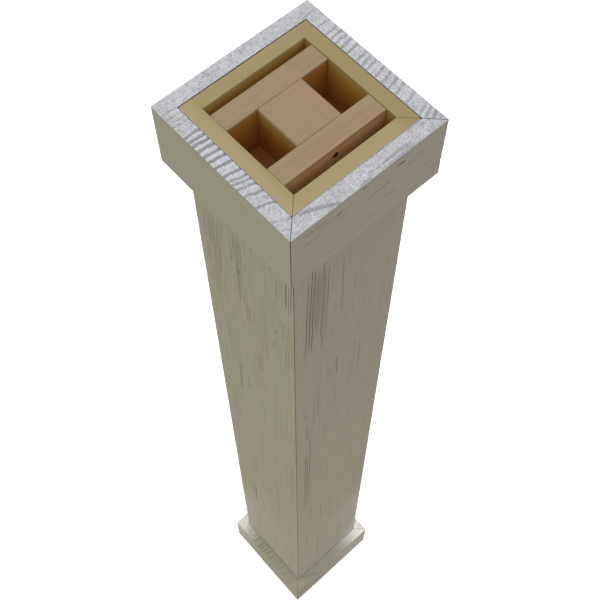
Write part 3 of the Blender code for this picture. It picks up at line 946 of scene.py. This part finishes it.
def growth_rings_group():
    """Growth rings round a line parallel to the grain: a wave of the distance from that line, bent by
    noise, with dark late wood where the wave peaks. The place's X runs along the grain."""
    numbers = {"Pith Y": 0.1, "Pith Z": -0.2, "Ring Width": 0.004, "Bend": 0.006}
    group, given = new_group("growth_rings", numbers)
    apart = parts_of(group, given["Place"])
    stretched = joined(group, product(group, apart["X"], 0.12), apart["Y"], apart["Z"])
    bend = noise(group, stretched, scale=22.0, detail=2.0)
    side = sums(group, "SUBTRACT", apart["Y"], given["Pith Y"])
    rise = sums(group, "SUBTRACT", apart["Z"], given["Pith Z"])
    square = sums(group, "ADD", product(group, side, side), product(group, rise, rise))
    radius = sums(group, "POWER", square, 0.5)
    bent = sums(group, "ADD", radius, product(group, bend, given["Bend"]))
    saw = sums(group, "FRACT", sums(group, "DIVIDE", bent, given["Ring Width"]))
    rising = ranged(group, saw, 0.25, 0.85)
    falling = ranged(group, saw, 0.88, 1.0, 1.0, 0.0)
    finely = {"X": 18.0, "Y": 900.0, "Z": 900.0}
    fine = [product(group, apart[axis], scale) for axis, scale in finely.items()]
    fibre = noise(group, joined(group, *fine), scale=1.0, detail=3.0)
    return give_out(group, {"Ring": product(group, rising, falling), "Fibre": fibre})


def use_group(tree, group, feeds):
    """Place a node group in a material with its own values."""
    return node(tree, "ShaderNodeGroup", feeds, node_tree=group).outputs


def new_material(name, roughness):
    """A material with an empty Principled surface. Returns it, its node tree and the surface."""
    material = bpy.data.materials.new(name)
    material.use_nodes = True
    tree = material.node_tree
    surface = tree.nodes["Principled BSDF"]
    surface.inputs["Roughness"].default_value = roughness
    surface.inputs["Specular IOR Level"].default_value = 0.3
    return material, tree, surface


def dressed(tree, surface, colour, roughness, heights):
    """Feed a surface its colour, its roughness and one bump for each (height, distance) in turn."""
    tree.links.new(colour, surface.inputs["Base Color"])
    tree.links.new(roughness, surface.inputs["Roughness"])
    before = {}
    for height, distance in heights:
        feeds = {"Height": height, "Distance": distance, "Strength": 1.0, **before}
        before = {"Normal": node(tree, "ShaderNodeBump", feeds).outputs["Normal"]}
    tree.links.new(before["Normal"], surface.inputs["Normal"])


def make_limed_skin():
    """Chalky grey-white paint over moulded grain, greyer in its streaks and dark in its hollows, partly as
    painted shade.

    The front faces are painted darker and more mauve as shade, and the streaks are fainter on the
    capital. Where the capital faces up it is painted lighter as light from above, with white crests
    standing out of grey pits that are partly painted shade. Where the base faces up it is painted
    darker and more olive as shade, and darker still towards its front corner as the column's
    painted shadow.
    """
    material, tree, surface = new_material("limed_skin", 0.75)
    run = node(tree, "ShaderNodeUVMap", uv_map="grain_run").outputs["UV"]
    place = node(tree, "ShaderNodeTexCoord").outputs["Object"]
    hollow = node(tree, "ShaderNodeAttribute", attribute_name="hollow").outputs["Fac"]
    normal = node(tree, "ShaderNodeNewGeometry").outputs["Normal"]
    facing = parts_of(tree, normal)
    spot = parts_of(tree, place)
    level = spot["Z"]
    upward = ranged(tree, facing["Z"], 0.35, 0.7)
    # Painted shade: faces that look to the front are tinted darker and more mauve
    front_face_shade = ranged(tree, facing["Y"], -0.9, -0.5, 0.5, 0.0)
    # Painted top light: the capital's upward faces take the whiter top colour
    lit_top_share = product(tree, upward, ranged(tree, level, MID_HEIGHT, MID_HEIGHT + 0.1))
    # Painted shade: the base's upward faces are darker and more olive
    base_top_shade = product(tree, upward, ranged(tree, level, MID_HEIGHT, MID_HEIGHT + 0.1, 0.8, 0.0))
    broad = use_group(tree, long_streaks, {"Place": run, "Width": 0.009, "Length": 0.26})
    grain = use_group(tree, long_streaks, {"Place": run, "Width": 0.0032, "Length": 0.10})
    granule = use_group(tree, grit_of, {"Place": place, "Size": 0.0026})["Granule"]
    cast = use_group(tree, grit_of, {"Place": place, "Size": 0.0035})["Cloud"]
    fainter = ranged(tree, level, CAPITAL_FOOT - MM, CAPITAL_FOOT, 1.0, 0.45)
    streaked = product(tree, ranged(tree, broad["Streak"], 0.38, 0.68, 0.02, 0.80), fainter)
    # Painted shadow of the column on the base's top, towards its front corner
    front_corner = sums(tree, "ADD", spot["X"], spot["Y"])
    column_shadow = product(tree, base_top_shade, ranged(tree, front_corner, -0.29, -0.21, 0.6, 0.0))
    # Darker in the hollows: partly grain tone, partly painted shade in the grooves
    groove_tone_and_shade = product(tree, hollow, ranged(tree, grain["Fibre"], 0.30, 0.62, 0.65, 1.0))
    side = coated(tree, SKIN_PALE, [
        (streaked, SKIN_DEEP),
        (ranged(tree, cast, 0.35, 0.65, 0.0, 0.4), SKIN_ROSY),
        (front_face_shade, SKIN_FRONT_SHADE),
        (ranged(tree, grain["Streak"], 0.48, 0.68, 0.0, 0.55), SKIN_DEEP),
        (ranged(tree, granule, 0.38, 0.62, 0.0, 0.30), SKIN_DEEP),
        (base_top_shade, SKIN_BASE_SHADE),
        (column_shadow, SKIN_COLUMN_SHADOW),
        (product(tree, groove_tone_and_shade, ranged(tree, base_top_shade, 0.0, 0.8, 1.0, 0.5)), SKIN_GROOVE),
    ])
    # White crests and grey pits on the capital's top: the pits are partly painted shade
    pitted = sums(tree, "ADD", hollow, ranged(tree, granule, 0.34, 0.66, -0.17, 0.17))
    top = mixed(tree, pitted, CREST_WHITE, CREST_GREY)
    # Painted shade in the nick of a mitre, stronger where it faces up
    mitre_nick_shade = product(tree, ranged(tree, hollow, 1.1, 1.9), ranged(tree, upward, 0.0, 1.0, 0.5, 0.9))
    colour = coated(tree, side, [(lit_top_share, top), (mitre_nick_shade, SEAM_SHADE)])
    roughness = ranged(tree, granule, 0.3, 0.7, 0.66, 0.86)
    dressed(tree, surface, colour, roughness, [(grain["Fibre"], 0.22 * MM), (granule, 1.0 * MM)])
    return material


def make_bare_foam():
    """Khaki rigid foam where the moulding was cut, with a few brown specks.

    It is paler along the front and left walls and deeper along the right one. Below the top it
    is painted olive and then amber as warm shade, as far down as the bore can be seen, and past
    GAP_FROM it is painted dark as the shade in the gap.
    """
    material, tree, surface = new_material("bare_foam", 0.7)
    place = node(tree, "ShaderNodeTexCoord").outputs["Object"]
    spot = parts_of(tree, place)
    aside = spot["X"]
    fore = spot["Y"]
    level = spot["Z"]
    grit = use_group(tree, grit_of, {"Place": place, "Size": 0.0011})
    granule = grit["Granule"]
    speckled = product(tree, grit["Speck"], ranged(tree, grit["Cloud"], 0.52, 0.60, 0.0, 0.7))
    # Painted warm shade: below the top the foam is amber, olive near the top and redder on the rear wall
    lower = product(tree, ranged(tree, level, AMBER_FROM - 0.011, AMBER_FROM - 0.001, 1.0, 0.0), 0.95)
    inside = ranged(tree, level, BORE_SHOWN_TO, BORE_SHOWN_TO + 0.1)
    amber = coated(tree, FOAM_AMBER, [
        (ranged(tree, fore, 0.085, 0.100), FOAM_AMBER_REAR),
        (ranged(tree, level, AMBER_FROM - 0.045, AMBER_FROM - 0.004, 0.0, 0.5), FOAM_OLIVE),
    ])
    reach = sums(tree, "MAXIMUM", sums(tree, "ABSOLUTE", aside), sums(tree, "ABSOLUTE", fore))
    colour = coated(tree, FOAM_PALE, [
        (ranged(tree, grit["Cloud"], 0.30, 0.70, 0.0, 0.5), FOAM_DEEP),
        (ranged(tree, granule, 0.38, 0.64, 0.0, 0.45), FOAM_DEEP),
        (speckled, FOAM_SPECK),
        (ranged(tree, fore, -0.120, -0.085, 0.45, 0.0), FOAM_FRONT),
        (ranged(tree, aside, -0.118, -0.100, 0.55, 0.0), FOAM_FRONT),
        (ranged(tree, aside, 0.085, 0.105, 0.0, 0.85), FOAM_DEEP),
        (product(tree, lower, inside), amber),
        # Painted shade: the foam inside the gap between shaft and collar is dark
        (ranged(tree, reach, GAP_FROM, GAP_FROM + 0.3 * MM), SEAM_SHADE),
    ])
    roughness = ranged(tree, granule, 0.3, 0.7, 0.62, 0.8)
    dressed(tree, surface, colour, roughness, [(granule, 0.18 * MM)])
    return material


def make_spruce(name, turned, pith, ring_width, shares, tint, amber_behind):
    """Planed softwood with growth rings and thin streaks, painted olive and then amber lower down as warm
    shade.

    turned gives the turn that lays the grain along the pattern's X. shares gives the strength of
    the rings, of the streaks and of the olive. The amber lies behind the plane y = amber_behind. A
    face in front of it is painted lighter, as light it doesn't get, with a darker rim along its top
    as painted shade.
    """
    ring_share, streak_share, olive_share = shares
    material, tree, surface = new_material(name, 0.55)
    place = node(tree, "ShaderNodeTexCoord").outputs["Object"]
    spot = parts_of(tree, place)
    level = spot["Z"]
    laid = node(tree, "ShaderNodeMapping", {"Vector": place, "Rotation": turned}).outputs["Vector"]
    apart = parts_of(tree, laid)
    numbers = {"Pith Y": pith[0], "Pith Z": pith[1], "Ring Width": ring_width, "Bend": 0.016}
    rings = use_group(tree, growth_rings, {"Place": laid, **numbers})
    fibre = rings["Fibre"]
    cloud = use_group(tree, grit_of, {"Place": place, "Size": 0.0012})["Cloud"]
    run = joined(tree, apart["Y"], apart["X"], apart["Z"])
    thin = use_group(tree, long_streaks, {"Place": run, "Width": 0.0026, "Length": 0.16})
    dark = tinted(SPRUCE_RING, tint)
    # Painted light and shade: a face in front of the plane is lighter, with a darker rim along its top
    behind = ranged(tree, spot["Y"], amber_behind, amber_behind + 0.004)
    rim = ranged(tree, level, AMBER_FROM - 0.016, AMBER_FROM - 0.001)
    # Painted warm shade: lower down, the wood behind the plane is amber, olive near the top
    lower = ranged(tree, level, AMBER_FROM - 0.012, AMBER_FROM - 0.002, 1.0, 0.0)
    upper = ranged(tree, level, AMBER_FROM - 0.040, AMBER_FROM - 0.006, 0.0, olive_share)
    amber = mixed(tree, upper, tinted(SPRUCE_AMBER, tint), SPRUCE_OLIVE)
    colour = coated(tree, tinted(SPRUCE_PALE, tint), [
        (product(tree, rings["Ring"], ring_share), dark),
        (ranged(tree, fibre, 0.45, 0.75, 0.0, 0.35), dark),
        (ranged(tree, cloud, 0.40, 0.65, 0.0, 0.25), dark),
        (ranged(tree, thin["Streak"], 0.58, 0.68, 0.0, streak_share), dark),
        (ranged(tree, behind, 0.0, 1.0, 0.9, 0.0), mixed(tree, rim, SPRUCE_FACE, SPRUCE_FACE_RIM)),
        (product(tree, lower, behind), amber),
    ])
    roughness = ranged(tree, fibre, 0.3, 0.7, 0.50, 0.68)
    dressed(tree, surface, colour, roughness, [(fibre, 0.12 * MM)])
    return material


def make_bored_wood():
    """The near-black wall of the screw hole."""
    material, tree, surface = new_material("bored_wood", 0.8)
    place = node(tree, "ShaderNodeTexCoord").outputs["Object"]
    grit = use_group(tree, grit_of, {"Place": place, "Size": 0.0006})
    less_dark = tinted(HOLE_DARK, (1.8, 1.8, 1.8))
    colour = mixed(tree, ranged(tree, grit["Granule"], 0.35, 0.65), HOLE_DARK, less_dark)
    roughness = ranged(tree, grit["Cloud"], 0.3, 0.7, 0.75, 0.9)
    dressed(tree, surface, colour, roughness, [(grit["Granule"], 0.2 * MM)])
    return material


long_streaks = long_streaks_group()
grit_of = grit_group()
growth_rings = growth_rings_group()
limed_skin = make_limed_skin()
bare_foam = make_bare_foam()
bored_wood = make_bored_wood()
along_x = (0.0, 0.0, 0.0)
along_y = (0.0, 0.0, math.radians(-90.0))
plain_tint = (1.0, 1.0, 1.0)
board_spruce = make_spruce(
    "board_spruce", along_x, (0.02, 2.30), 0.0062, (0.35, 0.75, 0.0), plain_tint, amber_behind=-0.0795
)
core_spruce = make_spruce(
    "core_spruce", along_y, (-0.16, 2.33), 0.0110, (0.20, 0.30, 0.9), (1.0, 0.98, 1.0), amber_behind=-0.2
)
plate_spruce = make_spruce(
    "plate_spruce", along_x, (0.06, 2.20), 0.0050, (0.40, 0.75, 0.0), (0.74, 0.66, 0.70), amber_behind=-0.2
)

build_shaft()
build_collar("capital", 1.25 * MM, 52, 96)
build_collar("base", 1.7 * MM, 40, 60)

sharp = [TIMBER_EDGE] * 4
timber("back_board", "block_board_back", 0, sharp, 3.0 * MM, board_spruce, 21)
front_board = timber("front_board", "block_board_front", 0, sharp, 3.0 * MM, board_spruce, 22)
drill_screw_hole(front_board, "block_board_front")
core_radii = [TIMBER_EDGE, CORE_UPPER_EDGE, CORE_UPPER_EDGE, TIMBER_EDGE]
timber("core_block", "block_centre", 1, core_radii, 3.0 * MM, core_spruce, 23)
timber("floor_plate", "block_plate", 0, sharp, 4.0 * MM, plate_spruce, 24)


def build_floor():
    """A plain pale floor under the column. It looks white, and throws back less and warmer light."""
    corners = [(FLOOR_REACH * x, FLOOR_REACH * y, -0.3 * MM) for x, y in ((-1, -1), (1, -1), (1, 1), (-1, 1))]
    mesh = bpy.data.meshes.new("floor")
    mesh.from_pydata(corners, [], [(0, 1, 2, 3)])
    floor = put_in("floor", mesh)
    material, tree, surface = new_material("pale_floor", 0.9)
    surface.inputs["Base Color"].default_value = painted(FLOOR_PALE)
    surface.inputs["Emission Color"].default_value = (1.0, 1.0, 1.0, 1.0)
    surface.inputs["Emission Strength"].default_value = 0.35
    muted = node(tree, "ShaderNodeBsdfDiffuse", {"Color": painted(FLOOR_BOUNCE)})
    seen = node(tree, "ShaderNodeLightPath").outputs["Is Camera Ray"]
    both = node(tree, "ShaderNodeMixShader", {0: seen, 1: muted.outputs[0], 2: surface.outputs[0]})
    tree.links.new(both.outputs[0], tree.nodes["Material Output"].inputs["Surface"])
    mesh.materials.append(material)


def hang_lamp(name, kind, place, aim, power, colour):
    """A lamp at a place, turned to face a point. Returns the object that holds it."""
    lamp = bpy.data.lights.new(name, kind)
    lamp.energy = power
    lamp.color = colour
    holder = put_in(name, lamp)
    holder.location = place
    facing = np.array(aim) - np.array(place)
    flat = math.hypot(facing[0], facing[1])
    holder.rotation_euler = (math.atan2(flat, -facing[2]), 0.0, math.atan2(-facing[0], facing[1]))
    return holder


def soft_light(name, place, aim, width, power, colour):
    """A square soft light that the camera doesn't see."""
    holder = hang_lamp(name, "AREA", place, aim, power, colour)
    holder.data.shape = "SQUARE"
    holder.data.size = width
    holder.visible_camera = False


def foot_light(name, place, aim, spread, power):
    """A small round light with a soft rim, over a side corner of the base."""
    lamp = hang_lamp(name, "SPOT", place, aim, power, FOOT_BLUE).data
    lamp.spot_size = math.radians(spread)
    lamp.spot_blend = 1.0
    lamp.shadow_soft_size = 0.04


def set_light():
    """An even cloudy sky, brightest overhead, that looks plain white behind the column.

    Weak soft lights stand high behind, low behind, left and low in front, and two small ones over
    each side corner of the base.
    """
    soft_light("high_light", (3.0, 3.6, 6.5), (0.0, 0.0, 1.6), 3.0, 68.0, DAY_BLUE)
    soft_light("low_light", (2.0, 1.5, 1.5), (0.0, 0.0, 0.1), 1.0, 26.0, (1.0, 1.0, 1.0))
    soft_light("left_light", (-5.0, 0.0, 3.0), (0.0, 0.0, 1.6), 3.0, 24.0, (0.78, 1.0, 0.58))
    soft_light("front_low_light", (-1.5, -1.4, 0.45), (0.0, 0.0, 0.45), 0.8, 3.7, (1.0, 0.98, 0.92))
    foot_light("left_foot_light", (-0.24, 0.25, 0.62), (-0.166, 0.174, 0.14), 25.0, 12.2)
    foot_light("right_foot_light", (0.23, -0.225, 0.62), (0.164, -0.167, 0.14), 30.0, 15.2)
    soft_light("left_foot_glow", (-0.34, 0.36, 0.46), (-0.13, 0.12, 0.16), 0.2, 0.30, DAY_BLUE)
    soft_light("right_foot_glow", (0.26, -0.34, 0.52), (0.07, -0.14, 0.14), 0.2, 0.18, DAY_BLUE)
    world = bpy.data.worlds.new("cloudy_sky")
    world.use_nodes = True
    tree = world.node_tree
    direction = node(tree, "ShaderNodeTexCoord").outputs["Generated"]
    rise = parts_of(tree, direction)["Z"]
    height = node(tree, "ShaderNodeMapRange", {"Value": rise}).outputs["Result"]
    sky = mixed(tree, height, SKY_LOW, SKY_HIGH)
    seen = node(tree, "ShaderNodeLightPath").outputs["Is Camera Ray"]
    tree.links.new(mixed(tree, seen, sky, BACKDROP), tree.nodes["Background"].inputs["Color"])
    bpy.context.scene.world = world


def set_camera():
    """The camera above the front left corner, looking down along the column."""
    azimuth, elevation, roll = np.radians(CAMERA_TURNS)
    camera = bpy.data.cameras.new("camera")
    camera.sensor_width = 36.0
    camera.lens = CAMERA_LENS
    camera.clip_start = 0.05
    holder = put_in("camera", camera)
    back = np.array([
        math.sin(azimuth) * math.cos(elevation),
        -math.cos(azimuth) * math.cos(elevation),
        math.sin(elevation),
    ])
    right = np.array([math.cos(azimuth), math.sin(azimuth), 0.0])
    up = np.cross(back, right)
    matrix = np.eye(4)
    matrix[:3, 0] = right * math.cos(roll) + up * math.sin(roll)
    matrix[:3, 1] = up * math.cos(roll) - right * math.sin(roll)
    matrix[:3, 2] = back
    matrix[:3, 3] = CAMERA_PLACE
    holder.matrix_world = [list(row) for row in matrix.T]
    bpy.context.scene.camera = holder


build_floor()
set_light()
set_camera()
bpy.context.scene.view_settings.view_transform = "Standard"
